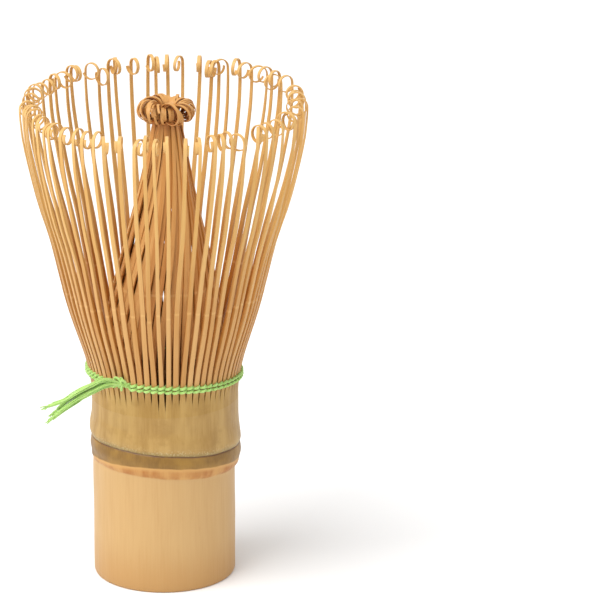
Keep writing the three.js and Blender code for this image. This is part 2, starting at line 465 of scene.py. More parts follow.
bpy.ops.object.select_all(action="DESELECT")
bpy.ops.mesh.primitive_plane_add(size=MM, location=(0, 0, 0))
handle = bpy.context.object
handle.name = handle.data.name = "handle_bamboo"
in_edit_mode(handle)
bpy.ops.mesh.select_all(action="SELECT")
bpy.ops.mesh.merge(type="CENTER")
bpy.ops.transform.translate(value=(0, 0, outline[0][1] * MM))
for (r0, z0), (r1, z1) in zip(outline, outline[1:]):
    step = ((r1 - r0) * MM, 0, (z1 - z0) * MM)
    bpy.ops.mesh.extrude_region_move(TRANSFORM_OT_translate={"value": step})
bpy.ops.mesh.select_all(action="SELECT")
bpy.ops.mesh.spin(steps=2 * TINES, angle=2 * math.pi, center=(0, 0, 0), axis=(0, 0, 1))
bpy.ops.mesh.select_all(action="SELECT")
bpy.ops.mesh.remove_doubles(threshold=0.02 * MM)
bpy.ops.mesh.normals_make_consistent(inside=False)
bpy.ops.object.mode_set(mode="OBJECT")
print("handle:", len(handle.data.polygons), "faces")

# %% Lean the node and roughen the wall
NODE_RISE_FRONT = 0.85
NODE_RISE_LEFT = 1.1
SANDED_TOP = 26.3
SANDED_RISE_FRONT = 1.3
SANDED_RISE_RIGHT = 0.6

# Waves round the culm: their depth in millimetres, their number, their phase, and how fast the
# phase turns with the height.
WALL_WAVES = [(0.07, 2, 0.6, 0), (0.035, 5, 0, 0.11), (0.02, 11, 0, -0.4), (0.012, 23, 0, 0.5)]
NODE_WAVES = [(0.05, 7, 0, 0.9)]
EDGE_WAVES = [(0.07, 3, 1, 0), (0.03, 8, 0, 0), (0.015, 17, 0, 0)]


# From where to where each change sets in and dies away: across the wall, then up the culm.
OUTER_WALL = (14.6, 15.0)
ROUGH_BEGINS, ROUGH_ENDS = (0.2, 2), (36, 39.5)
NODE_BEGINS, NODE_ENDS = (23, 27), (34, 38)
LIFT_BEGINS, LIFT_ENDS = (8, 22), (33, 39)
SHIFT_BEGINS = (24, 27)


def within(value, begins, ends):
    return ease(value, *begins) * (1 - ease(value, *ends))


def waves(table, azimuth, height):
    return sum(depth * np.sin(number * azimuth + phase + climb * height)
               for depth, number, phase, climb in table)


place = vertices_of(handle) / MM
height = place[:, 2].copy()
paint_value(handle, "culm_height", height)
azimuth = np.arctan2(place[:, 1], place[:, 0])
radius = np.hypot(place[:, 0], place[:, 1])
outer = ease(radius, *OUTER_WALL) * within(height, ROUGH_BEGINS, ROUGH_ENDS)
near_node = within(height, NODE_BEGINS, NODE_ENDS)
swell = waves(WALL_WAVES, azimuth, height) + near_node * waves(NODE_WAVES, azimuth, height)
place[:, :2] *= (1 + outer * swell / np.maximum(radius, 1))[:, None]
lifted = within(height, LIFT_BEGINS, LIFT_ENDS)
lean = (-place[:, 1] * NODE_RISE_FRONT - place[:, 0] * NODE_RISE_LEFT) / HANDLE_RADIUS
place[:, 2] += lifted * (lean + near_node * waves(EDGE_WAVES, azimuth, height))
place[:, 0] += CULM_SHIFT / MM * ease(height, *SHIFT_BEGINS)
move_vertices(handle, place * MM)
paint_value(handle, "sanded_top", SANDED_TOP - SANDED_RISE_FRONT * np.sin(azimuth)
            + SANDED_RISE_RIGHT * np.cos(azimuth))
select_only(handle)
bpy.ops.object.shade_smooth_by_angle(angle=math.radians(50))
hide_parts("handle_culm")
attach(handle, "handle")
print("node leans by", round(float(lean.max() - lean.min()), 1), "mm across")

# %% [markdown]
# ## Shaving a straight tine
#
# The maker splits the culm, and shaves each split strip while it is still straight: wide and thick
# at the root, thinner from the shaving step up, and as thin as paper where it will be curled. The model
# does the same. One strip is drawn upwards from a small ten-sided face by extruding it from station
# to station and resizing it at each, and it is bent only afterwards. That way every tine is a copy
# of one of two strips, and yet no two are alike.

# %% One straight strip
BEVEL = 0.12

# The ten corners of a strip's section, as shares of half its thickness and half its width.
SECTION = [(1, 0), (1, 1 - BEVEL), (1 - BEVEL, 1), (BEVEL - 1, 1), (-1, 1 - BEVEL), (-1, 0),
           (-1, BEVEL - 1), (BEVEL - 1, -1), (1 - BEVEL, -1), (1, BEVEL - 1)]


def straight_strip(name, stations):
    """Extrudes a flat section upwards. Stations are (height, width, thickness) in millimetres."""
    low, width, thickness = stations[0]
    bpy.ops.object.select_all(action="DESELECT")
    bpy.ops.mesh.primitive_circle_add(vertices=len(SECTION), radius=MM / 2, fill_type="NGON")
    strip = bpy.context.object
    strip.name = strip.data.name = name
    angles = np.arctan2(*(vertices_of(strip)[:, [1, 0]].T))
    order = np.round(angles / (2 * math.pi) * len(SECTION)).astype(int) % len(SECTION)
    flat = np.array([(SECTION[i][0] * thickness, SECTION[i][1] * width, 2 * low) for i in order])
    move_vertices(strip, flat / 2 * MM)
    in_edit_mode(strip)
    bpy.ops.mesh.select_all(action="SELECT")
    for (z0, w0, t0), (z1, w1, t1) in zip(stations, stations[1:]):
        bpy.ops.mesh.extrude_region_move(TRANSFORM_OT_translate={"value": (0, 0, (z1 - z0) * MM)})
        bpy.ops.transform.resize(value=(t1 / t0, w1 / w0, 1), center_override=(0, 0, z1 * MM))
    bpy.ops.mesh.select_all(action="SELECT")
    bpy.ops.mesh.normals_make_consistent(inside=False)
    bpy.ops.object.mode_set(mode="OBJECT")
    return strip


def taper(turns, run):
    """A value along the strip, in straight lines between (run, value) turns."""
    return float(np.interp(run, *zip(*turns)))


# %% How wide and how thick the strips are along their length
ROOT_WIDTH = 1.48
OUTER_LENGTH = 77.6
INNER_LENGTH = 82

# The shaving step, where the strip suddenly gets thinner, lies between these two.
STEP_LOW = 25.2
STEP_HIGH = 25.7
OUTER_WIDTH = [(0, ROOT_WIDTH), (1, ROOT_WIDTH), (4.5, 1.14), (8, 1.02), (24, 0.93), (47, 0.79),
               (60, 0.71), (68, 0.68), (78, 0.66)]
OUTER_THICKNESS = [(0, 1.3), (5, 1.25), (10, 1.0), (STEP_LOW, 0.82), (STEP_HIGH, 0.74), (47, 0.5),
                   (60, 0.36), (67, 0.26), (78, 0.22)]
INNER_WIDTH = [(0, 1.36), (8, 1.32), (22, 1.25), (35, 1.08), (47, 0.9), (60, 0.72), (66, 0.66),
               (82, 0.54)]
INNER_THICKNESS = [(0, 1.0), (10, 0.75), (STEP_LOW, 0.62), (STEP_HIGH, 0.5), (47, 0.36),
                   (62, 0.24), (82, 0.18)]

# Where the strip is cut across: wide apart along the stem, and close together for the curl.
STEM_RUNS = [0, 0.8, 1.6, 2.4, 3.3, 4.3, 5.4, 6.6, 8, 9.8, 12, 14.5, 17, 20, 23, STEP_LOW, STEP_HIGH,
             29, 32.5, 36, 39.5, 43, 46.5, 50, 53.5, 56.5]
CURL_RUNS_FROM = 59


def strip_stations(widths, thicknesses, length, curl_steps):
    runs = STEM_RUNS + list(np.linspace(CURL_RUNS_FROM, length, curl_steps))
    return [(run, taper(widths, run), taper(thicknesses, run)) for run in runs]


outer_strip = straight_strip("outer_strip", strip_stations(
    OUTER_WIDTH, OUTER_THICKNESS, OUTER_LENGTH, curl_steps=34))
inner_strip = straight_strip("inner_strip", strip_stations(
    INNER_WIDTH, INNER_THICKNESS, INNER_LENGTH, curl_steps=44))
print("a straight strip has", len(outer_strip.data.polygons), "faces")

# %% [markdown]
# ## Bending the tines
#
# A tine's route is its side view: a stem that flares out like a bell, then a curl. On a real whisk
# each one has sprung a little differently, so a few small habits are drawn at random for every tine:
# how far it leans to the side and outwards, how tight its curl is, where the curl starts, how far
# the curl has slid sideways past its own stem, and how much the tine has turned about itself.

# %% The route of one tine
ROUTE_STEP = 0.1
STEM_STEPS = 40

# Where along the strip each habit takes hold, in millimetres, and how slowly the lean sets in.
LEAN_FROM = 8
LEAN_STRETCH = 60
LEAN_POWER = 1.5
BOW_FROM = 4
BOW_STRETCH = 44
SWING_FROM = 10

# How far before the curl a tine begins and ends to turn about itself.
TURN_FROM = 26
TURN_TO = 2


def tine_route(stem, length, curl_start, curl_radius, curl_side, habit, spiral=0.12):
    """Points along a tine, and the directions of its thickness and width at each. Millimetres.

    The route starts in the plane of x (outwards) and z (up), with y to the side."""
    line = smooth_line(stem, STEM_STEPS)
    run = np.concatenate([[0], np.cumsum(np.linalg.norm(np.diff(line, axis=0), axis=1))])
    runs = np.arange(0, length + ROUTE_STEP, ROUTE_STEP)
    x, z = np.interp(runs, run, line[:, 0]), np.interp(runs, run, line[:, 1])
    tilt = np.arctan2(np.gradient(x), np.gradient(z))
    first = int(curl_start / ROUTE_STEP)
    for i in range(first, len(runs)):
        wound = (i - first) / (len(runs) - first)
        radius = curl_radius * (1 + spiral * (0.5 - wound))
        tilt[i] = tilt[i - 1] + curl_side * ROUTE_STEP / radius
        x[i] = x[i - 1] + ROUTE_STEP * math.sin(tilt[i])
        z[i] = z[i - 1] + ROUTE_STEP * math.cos(tilt[i])
    wound = np.clip((runs - curl_start) / (length - curl_start), 0, 1)
    rise = np.clip((runs - LEAN_FROM) / LEAN_STRETCH, 0, 1) ** LEAN_POWER
    bow = np.sin(np.pi * np.clip((runs - BOW_FROM) / BOW_STRETCH, 0, 1)) ** 2
    x = x + habit["flare"] * rise + habit["bow_out"] * bow
    y = habit["lean"] * rise + habit["slide"] * wound + habit.get("bow_aside", 0) * bow
    turn = habit["turn"] * ease(runs, curl_start - TURN_FROM, curl_start - TURN_TO)
    pivot = x[first]
    off = np.where(runs > curl_start, x - pivot, 0)
    x, y = x - off + off * np.cos(turn), y + off * np.sin(turn)
    thick = np.stack([np.cos(tilt), 0 * tilt, -np.sin(tilt)], 1)
    wide = np.stack([0 * tilt, 0 * tilt + 1, 0 * tilt], 1)
    swing = habit.get("swing", 0) * ease(runs, SWING_FROM, curl_start)
    swing += habit.get("swirl", 0) * wound
    place = np.stack([x, y, z], 1)
    return runs, spun(place, swing), spun(thick, turn + swing), spun(wide, turn + swing)


def spun(vectors, angle):
    """The vectors turned about the upright axis, each by its own angle."""
    c, s = np.cos(angle), np.sin(angle)
    x, y, z = vectors.T
    return np.stack([c * x - s * y, s * x + c * y, z], 1)


print("tine pitch", round(math.degrees(TINE_PITCH), 2), "degrees")

# %% Bend a copy of the strip
# A slit starts as a hair's gap and opens over a short stretch. Below it the edges are filled square.
SLIT_GAP = 0.012
SLIT_STRETCH = 2.6
EDGE_FILL = 0.95

# The radius of the ring of roots, and how much it grows with each millimetre up the strip.
RING_RADIUS = 15.7
RING_FLARE = 0.12

# Where the shaving step is moved up or down, and over what stretch.
STEP_MIDDLE = 25.5
STEP_REACH = 8


def closed_at_root(out, side, run, slits, scale):
    """Below the ends of its two slits, a tine fills its share of the culm's wall from edge to edge."""
    end = np.where(side > 0, slits[1], slits[0])
    opened = ease((run - end) / SLIT_STRETCH, 0, 1)
    half_width = np.interp(run, *zip(*OUTER_WIDTH)) / 2
    half_thickness = np.interp(run, *zip(*OUTER_THICKNESS)) / 2
    at_edge = (np.abs(side) > half_width / 2) * (out > half_thickness / 2)
    squared = at_edge * (1 - opened) * EDGE_FILL
    out = out + (half_thickness - out) * squared
    side = side + np.sign(side) * (half_width - np.abs(side)) * squared
    half_pitch = TINE_PITCH / 2 * (RING_RADIUS + RING_FLARE * run) - SLIT_GAP
    return out, side / half_width * (half_pitch * (1 - opened) + half_width * scale * opened)


def bent_tine(strip, route, azimuth, tone, slits=None, scale=1.0, step_shift=0.0):
    """A copy of the strip, laid along the route and turned to its azimuth."""
    runs, line, thick, wide = route
    tine = bpy.data.objects.new("tine", strip.data.copy())
    bpy.context.scene.collection.objects.link(tine)
    out, side, run = (vertices_of(tine) / MM).T
    if slits:
        out, side = closed_at_root(out, side, run, slits, scale)
    else:
        side = side * scale
    out = out - side * side / (2 * HANDLE_RADIUS)
    slid = run + step_shift * np.exp(-(((run - STEP_MIDDLE) / STEP_REACH) ** 2))
    at = [np.stack([np.interp(slid, runs, part[:, i]) for i in range(3)], 1)
          for part in (line, thick, wide)]
    place = at[0] + at[1] * out[:, None] + at[2] * side[:, None]
    move_vertices(tine, spun(place, np.full(len(run), azimuth)) * MM)
    paint_value(tine, "tine_run", run)
    paint_value(tine, "tine_side", side)
    paint_value(tine, "tine_tone", np.full(len(run), tone))
    paint_value(tine, "tine_skin", (out > 0) * 1.0)
    return tine


print("a slit closes over", SLIT_STRETCH, "mm")

# %% Lean the tines and join them
LEAN_RIGHT_LOW = 46
LEAN_RIGHT_HIGH = 104


def lean_right(piece, far):
    """Above its node the culm stands a little further right, and the tines lean that way too."""
    place = vertices_of(piece)
    place[:, 0] += CULM_SHIFT + far * ease(place[:, 2] / MM, LEAN_RIGHT_LOW, LEAN_RIGHT_HIGH)
    move_vertices(piece, place)


def join_tines(tines, name):
    select_only(tines[0])
    for tine in tines:
        tine.select_set(True)
    bpy.ops.object.join()
    whole = bpy.context.object
    whole.name = whole.data.name = name
    bpy.ops.object.shade_smooth_by_angle(angle=math.radians(38))
    return whole


print("the tines lean from", LEAN_RIGHT_LOW, "to", LEAN_RIGHT_HIGH, "mm")

# %% The outer ring
OUTER_STEM = [(15.05, 40), (15.05, 41.2), (15.22, 43.2), (15.62, 45.3), (16.1, 47.6), (17.2, 51.5),
              (20.2, 61), (23.8, 75), (26.5, 84), (29.0, 95), (29.8, 101), (29.95, 105), (29.8, 112)]
SECTIONS = 17
TINES_PER_SECTION = TINES // SECTIONS
RING_LEAN = 0.35 * MM

# Neighbours lean together: how far, how many tines make a group, and how that number wanders.
GROUP_LEAN = 0.85
GROUP_SIZE = 4.7
GROUP_WANDER = 1.3
GROUP_DRIFT = 0.31

# Each slit ends at its own height, in millimetres above the whole part of the culm.
tine_random = random.Random(11)
slit_roots = [0.1 + tine_random.triangular(0, 3.2, 1.0) for _ in range(TINES)]


def outer_habit(k):
    """What is a tine's own, on top of the lean it shares with its group."""
    group = 2 * math.pi * k / GROUP_SIZE + GROUP_WANDER * math.sin(GROUP_DRIFT * k)
    return {
        "lean": GROUP_LEAN * math.sin(group) + tine_random.gauss(0, 0.35),
        "flare": tine_random.gauss(0, 0.3),
        "bow_out": tine_random.gauss(0, 0.14),
        "bow_aside": tine_random.gauss(0, 0.16),
        "slide": tine_random.choice((-1, 1, 1)) * tine_random.uniform(0.35, 0.95),
        "turn": math.radians(tine_random.gauss(0, 13)),
    }


def outer_tine(k):
    azimuth = (k + 0.5) * TINE_PITCH
    route = tine_route(
        OUTER_STEM, OUTER_LENGTH,
        curl_start=66.6 + 0.7 * math.sin(azimuth) + tine_random.gauss(0, 0.4),
        curl_radius=tine_random.uniform(1.62, 1.82),
        curl_side=-1,
        habit=outer_habit(k),
    )
    return bent_tine(
        outer_strip, route, azimuth,
        tone=tine_random.random(),
        slits=(slit_roots[k], slit_roots[(k + 1) % TINES]),
        scale=tine_random.uniform(0.88, 1.12),
        step_shift=tine_random.gauss(0, 0.8),
    )


outer_pieces = []
for section in range(SECTIONS):
    first = section * TINES_PER_SECTION
    node = f"outer_tines_{section + 1:02d}"
    tines = [outer_tine(k) for k in range(first, first + TINES_PER_SECTION)]
    piece = join_tines(tines, node + "_bamboo")
    lean_right(piece, RING_LEAN)
    outer_pieces.append(piece)
    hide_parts(node)
    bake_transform(piece)
print("outer tines:", TINES, "in", SECTIONS, "sections")

# %% [markdown]
# ## The inner bundle
#
# The inner tines lean together into a cone with a slight twist, like a handful of straws. At the neck
# they overlap in three layers, and above it each one curls outwards, over and down, so that their
# tips make one round knob. Two curls at the front have turned to face sideways, and stand as open
# loops. Their neighbours are wound a little tighter and tucked in behind them, to leave them free.

# %% The inner tines
INNER_STEM = [(12.0, 40), (12.1, 44), (12.3, 49), (12.1, 55), (11.3, 61), (9.6, 69), (7.5, 78),
              (5.4, 87), (3.9, 94), (2.85, 99), (1.95, 103), (1.65, 107), (1.65, 112)]
INNER_TINES = 48
INNER_SECTIONS = 8
INNER_PER_SECTION = INNER_TINES // INNER_SECTIONS
INNER_PITCH = 2 * math.pi / INNER_TINES
BUNDLE_LEAN = 0.9 * MM
BUNDLE_TWIST = math.radians(26)

# By the tine's number. The turn is in degrees, the rest in millimetres.
OPEN_LOOPS = {
    26: {"turn": 22, "outwards": 1.6, "radius": 2.0},
    28: {"turn": 72, "outwards": 1.3, "radius": 2.3},
}
TUCKED_LOOPS = (22, 23, 24, 25, 27, 29, 30)
TUCKED_SIZE = 0.8

# How far apart the layers stand at their tips, and how far they bow apart below. Millimetres.
LAYER_GAP = 0.42
LAYER_BOW = 0.3

# How far a curl swirls round the knob as it winds, in degrees.
SWIRL = 60
TUCKED_SWIRL = 16


def inner_habit(k):
    """Of every three neighbours one lies inside, one in the middle and one outside."""
    layer = k % 3 - 1
    turn = 14 + tine_random.gauss(0, 6)
    outwards = LAYER_GAP * layer
    swirl = TUCKED_SWIRL if k in TUCKED_LOOPS else SWIRL
    if k in OPEN_LOOPS:
        turn, outwards, swirl = OPEN_LOOPS[k]["turn"], OPEN_LOOPS[k]["outwards"], 0
    return {
        "lean": tine_random.gauss(0, 0.3),
        "flare": outwards + tine_random.gauss(0, 0.08),
        "bow_out": LAYER_BOW * layer,
        "slide": tine_random.uniform(-0.3, 0.3),
        "turn": math.radians(turn),
        "swing": BUNDLE_TWIST,
        "swirl": math.radians(swirl + tine_random.gauss(0, 6)),
    }


def inner_tine(k):
    radius = tine_random.uniform(1.7, 1.95)
    if k in TUCKED_LOOPS:
        radius *= TUCKED_SIZE
    if k in OPEN_LOOPS:
        radius = OPEN_LOOPS[k]["radius"]
    route = tine_route(
        INNER_STEM, INNER_LENGTH,
        curl_start=64.3 + tine_random.uniform(-0.7, 0.7),
        curl_radius=radius,
        curl_side=1,
        habit=inner_habit(k),
        spiral=0.2,
    )
    return bent_tine(
        inner_strip, route, (k + 0.5) * INNER_PITCH,
        tone=tine_random.random(),
        scale=tine_random.uniform(0.92, 1.08),
    )


inner_pieces = []
for section in range(INNER_SECTIONS):
    first = section * INNER_PER_SECTION
    node = f"inner_tines_{section + 1:02d}"
    tines = [inner_tine(k) for k in range(first, first + INNER_PER_SECTION)]
    piece = join_tines(tines, node + "_bamboo")
    lean_right(piece, BUNDLE_LEAN)
    inner_pieces.append(piece)
    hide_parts(node)
    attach(piece, "handle")
for strip in (outer_strip, inner_strip):
    bpy.data.objects.remove(strip)
print("inner tines:", INNER_TINES, "in", INNER_SECTIONS, "sections")

# %% [markdown]
# ## Finishes
#
# Bamboo is bundles of long straight fibres, so every bamboo surface here has fine streaks along
# the culm, and small dark dashes where a bundle is cut. That effect is built once, as a node group,
# and is placed in every bamboo material. The colours are mixed by height on the culm, and along and
# across the strip on the tines.

# %% Small helpers for shader nodes


def paint(red, green, blue):
    """A colour as it looks on a screen, 0 to 255, made linear for the shader."""
    channels = [c / 255 for c in (red, green, blue)]
    return tuple(c / 12.92 if c <= 0.04045 else ((c + 0.055) / 1.055) ** 2.4
                 for c in channels) + (1,)


def add_node(tree, kind, settings=None, **inputs):
    """A shader node with its settings, and its inputs set or linked by name."""
    made = tree.nodes.new("ShaderNode" + kind)
    for key, value in (settings or {}).items():
        setattr(made, key, value)
    for key, value in inputs.items():
        connect(tree, value, made.inputs[key.replace("_", " ")])
    return made


def connect(tree, value, socket):
    if isinstance(value, bpy.types.NodeSocket):
        tree.links.new(value, socket)
    else:
        socket.default_value = value


def calculate(tree, operation, first, second=0.0, third=0.0):
    made = add_node(tree, "Math", {"operation": operation})
    for socket, value in zip(made.inputs, (first, second, third)):
        connect(tree, value, socket)
    return made.outputs[0]


def mix(tree, share, first, second):
    made = add_node(tree, "Mix", {"data_type": "RGBA"})
    for index, value in ((0, share), (6, first), (7, second)):
        connect(tree, value, made.inputs[index])
    return made.outputs[2]


def between(tree, value, low, high, start=0.0, end=1.0):
    """A smooth step of a value, from start at low to end at high."""
    return add_node(tree, "MapRange", {"interpolation_type": "SMOOTHSTEP"}, Value=value,
                    From_Min=low, From_Max=high, To_Min=start, To_Max=end).outputs[0]


def attribute(tree, name):
    return add_node(tree, "Attribute", {"attribute_name": name}).outputs["Fac"]


def noise(tree, vector, scale, detail=3.0, roughness=0.5):
    return add_node(tree, "TexNoise", Vector=vector, Scale=scale, Detail=detail,
                    Roughness=roughness).outputs["Fac"]


def times(tree, first, second):
    return calculate(tree, "MULTIPLY", first, second)


def place_group(tree, group, **inputs):
    return add_node(tree, "Group", {"node_tree": group}, **inputs).outputs


def start_material(name):
    """A new material with its shader, its object coordinates, and nothing else."""
    material = bpy.data.materials.new(name)
    material.use_nodes = True
    tree = material.node_tree
    shader = tree.nodes["Principled BSDF"]
    where = add_node(tree, "TexCoord").outputs["Object"]
    return material, tree, shader, where


def finish_surface(tree, shader, colour, roughness, relief, strength, depth, specular):
    """Gives the shader its colour, its roughness, and a bump made from the relief."""
    connect(tree, colour, shader.inputs["Base Color"])
    connect(tree, roughness, shader.inputs["Roughness"])
    bump = add_node(tree, "Bump", Height=relief, Strength=strength, Distance=depth)
    connect(tree, bump.outputs["Normal"], shader.inputs["Normal"])
    shader.inputs["Specular IOR Level"].default_value = specular


def wear_only(piece, material):
    piece.data.materials.clear()
    piece.data.materials.append(material)


print("helpers ready")

# %% The fibres of bamboo
FIBRE_FINENESS = 3200

# Up the culm the coordinates are scaled by this much: the smaller it is, the longer the marks.
STREAK_PRESS = 0.03
CLOUD_PRESS = 0.14


def drawn_out(tree, vector, along):
    """Coordinates pressed together up the culm, so that a noise on them becomes long there."""
    made = add_node(tree, "VectorMath", {"operation": "MULTIPLY"})
    connect(tree, vector, made.inputs[0])
    connect(tree, (1, 1, along), made.inputs[1])
    return made.outputs[0]


def make_fibre_group():
    group = bpy.data.node_groups.new("bamboo_fibres", "ShaderNodeTree")
    sockets = group.interface.new_socket
    sockets("Vector", in_out="INPUT", socket_type="NodeSocketVector")
    sockets("Fineness", in_out="INPUT", socket_type="NodeSocketFloat")
    for name in ("Streaks", "Clouds", "Dashes"):
        sockets(name, in_out="OUTPUT", socket_type="NodeSocketFloat")
    given = group.nodes.new("NodeGroupInput").outputs
    result = group.nodes.new("NodeGroupOutput").inputs
    fineness = given["Fineness"]
    long_way = drawn_out(group, given["Vector"], STREAK_PRESS)
    short_way = drawn_out(group, given["Vector"], CLOUD_PRESS)
    streaks = noise(group, long_way, fineness, detail=4, roughness=0.65)
    clouds = noise(group, short_way, times(group, fineness, 0.12), roughness=0.55)
    dashes = noise(group, short_way, times(group, fineness, 0.7), detail=2)
    connect(group, between(group, streaks, 0.3, 0.7), result["Streaks"])
    connect(group, between(group, clouds, 0.3, 0.72), result["Clouds"])
    connect(group, between(group, dashes, 0.68, 0.78), result["Dashes"])
    return group


fibre_group = make_fibre_group()
print("fibre group has", len(fibre_group.nodes), "nodes")

# %% The skin of the culm, shared by the handle and the roots of the tines
SKIN = paint(186, 150, 84)
SKIN_DEEP = paint(154, 116, 50)
SKIN_MOTTLE = paint(146, 108, 44)
MOTTLE_SCALE = 230


def make_skin_group():
    """Skin colour at a place on the culm, so that it runs on unbroken from the wall to the tines."""
    group = bpy.data.node_groups.new("bamboo_skin", "ShaderNodeTree")
    group.interface.new_socket("Vector", in_out="INPUT", socket_type="NodeSocketVector")
    group.interface.new_socket("Color", in_out="OUTPUT", socket_type="NodeSocketColor")
    where = group.nodes.new("NodeGroupInput").outputs["Vector"]
    result = group.nodes.new("NodeGroupOutput").inputs
    fibres = place_group(group, fibre_group, Vector=where, Fineness=FIBRE_FINENESS)
    skin = mix(group, times(group, fibres["Clouds"], 0.8), SKIN_DEEP, SKIN)
    skin = mix(group, times(group, fibres["Streaks"], 0.3), skin, SKIN)
    mottle = noise(group, where, MOTTLE_SCALE, detail=4, roughness=0.6)
    mottled = mix(group, between(group, mottle, 0.5, 0.72, 0, 0.5), skin, SKIN_MOTTLE)
    connect(group, mottled, result["Color"])
    return group


skin_group = make_skin_group()
print("skin group has", len(skin_group.nodes), "nodes")

# %% The culm's colours, and where each of them lies
SCRAPED = paint(198, 160, 104)
SCRAPED_DEEP = paint(184, 142, 84)
# Painted shade: the scraped wall darkens to this colour towards the foot.
SCRAPED_FOOT_SHADE = paint(176, 128, 66)
SANDED = paint(198, 148, 80)
SANDED_DEEP = paint(166, 102, 32)
RIDGE_OLIVE = paint(118, 82, 16)
RIDGE_PALE = paint(152, 112, 36)
BLOOM = paint(196, 180, 132)
SHADE_GREEN = paint(128, 114, 66)
SCAR = paint(104, 68, 52)

# From where to where each one comes in, in millimetres up the culm.
# Where the painted shade at the foot comes in.
FOOT_SHADE_BAND = (12, 0)
SANDED_BAND = (25.0, 25.5)
SKIN_BAND = (30.3, 30.8)
GREEN_BEGINS = (30.3, 30.5)
GREEN_ENDS = (31.7, 30.5)
BLOOM_BEGINS = (30.4, 30.8)
BLOOM_ENDS = (32.6, 31.0)

# The same, above the sanded step's ragged upper edge, and away from the scar.
EDGE_BAND = (-1.0, -0.1)
RIDGE_BAND = (-0.1, 0.25)
SCAR_BAND = (0.3, 0.02)
print("the skin begins at", SKIN_BAND[0], "mm")

# %% The culm's finish: scraped wall, sanded step, green ridge, dark scar, skin
culm_finish, tree, shader, where = start_material("bamboo_culm")
fibres = place_group(tree, fibre_group, Vector=where, Fineness=FIBRE_FINENESS)
level = attribute(tree, "culm_height")
ragged = calculate(tree, "MULTIPLY_ADD", noise(tree, where, scale=260), 0.7, -0.35)
shifted = calculate(tree, "ADD", level, ragged)
above_edge = calculate(tree, "SUBTRACT", shifted, attribute(tree, "sanded_top"))

streaky = calculate(tree, "MULTIPLY_ADD", fibres["Streaks"], 0.3, 0.4)
scraped_and_foot_shade = mix(tree, streaky, SCRAPED_DEEP, SCRAPED)
scraped_and_foot_shade = mix(tree, times(tree, fibres["Clouds"], 0.5), scraped_and_foot_shade, SCRAPED)
# Painted shade at the foot: below 12 mm the scraped wall is mixed up to 0.7 towards a darker colour.
scraped_and_foot_shade = mix(tree, between(tree, level, *FOOT_SHADE_BAND, 0, 0.7), scraped_and_foot_shade, SCRAPED_FOOT_SHADE)
sanded = mix(tree, fibres["Clouds"], SANDED_DEEP, SANDED)
sanded = mix(tree, between(tree, above_edge, *EDGE_BAND), sanded, SANDED)
patches = between(tree, noise(tree, where, scale=190), 0.35, 0.65)
ridge = mix(tree, patches, RIDGE_OLIVE, RIDGE_PALE)
ridge = mix(tree, times(tree, fibres["Streaks"], 0.3), ridge, RIDGE_PALE)
skin = place_group(tree, skin_group, Vector=where)["Color"]

colour = mix(tree, between(tree, shifted, *SANDED_BAND), scraped_and_foot_shade, sanded)
colour = mix(tree, between(tree, above_edge, *RIDGE_BAND), colour, ridge)
colour = mix(tree, between(tree, level, *SKIN_BAND), colour, skin)
near_scar = times(tree, between(tree, level, *GREEN_BEGINS), between(tree, shifted, *GREEN_ENDS))
colour = mix(tree, times(tree, near_scar, 0.6), colour, SHADE_GREEN)
waxy = times(tree, between(tree, level, *BLOOM_BEGINS), between(tree, level, *BLOOM_ENDS))
speckle = between(tree, noise(tree, where, scale=2600, roughness=0.6), 0.52, 0.66)
colour = mix(tree, times(tree, times(tree, waxy, speckle), 0.6), colour, BLOOM)
from_scar = calculate(tree, "ABSOLUTE", calculate(tree, "SUBTRACT", level, SCAR_HEIGHT))
broken = between(tree, noise(tree, where, scale=900), 0.3, 0.6, 0.25, 0.8)
colour = mix(tree, times(tree, between(tree, from_scar, *SCAR_BAND), broken), colour, SCAR)
colour = mix(tree, times(tree, fibres["Dashes"], 0.12), colour, SANDED_DEEP)
finish_surface(tree, shader, colour, between(tree, fibres["Streaks"], 0, 1, 0.52, 0.4),
               relief=fibres["Streaks"], strength=0.15, depth=0.04 * MM, specular=0.55)
wear_only(handle, culm_finish)
print("culm finish has", len(tree.nodes), "nodes")

# %% The tines' finish: skin at the root, honey above, painted shade low on the cut sides, a painted highlight at the shaving step
HONEY = paint(212, 168, 106)
HONEY_DEEP = paint(182, 126, 56)
# Painted highlight along the shaving step.
STEP_HIGHLIGHT = paint(226, 184, 118)
CUT_SIDE = paint(184, 112, 34)
# Painted shade: the cut sides darken to this towards the roots, in the gaps between the tines and on the
# side facing the bore.
CUT_SIDE_SHADE = paint(142, 68, 22)
INNER_HONEY = paint(222, 172, 104)
INNER_DEEP = paint(172, 104, 38)
GOLD = paint(216, 172, 96)
CURL_OUTSIDE = paint(220, 178, 112)
CURL_INSIDE = paint(212, 164, 92)
KNOB_OUTSIDE = paint(214, 166, 100)
# Painted shade for the hollow inside of the knob's curls.
KNOB_INSIDE_SHADE = paint(150, 70, 20)

# From where to where along a strip each one comes in, in millimetres.
ROOT_BAND = (9, 3)
# Where the cut sides take the painted shade.
CUT_SHADE_BAND = (20, 7)
PALE_BAND = (22, 42)
GOLD_BAND = (24, 50)
CURL_BAND = (58, 66)

# The painted highlight at the shaving step: its place on the strip, and how it fades away from there.
STEP_HIGHLIGHT_RUN = 25.6
STEP_HIGHLIGHT_BAND = (0.4, 0.1)


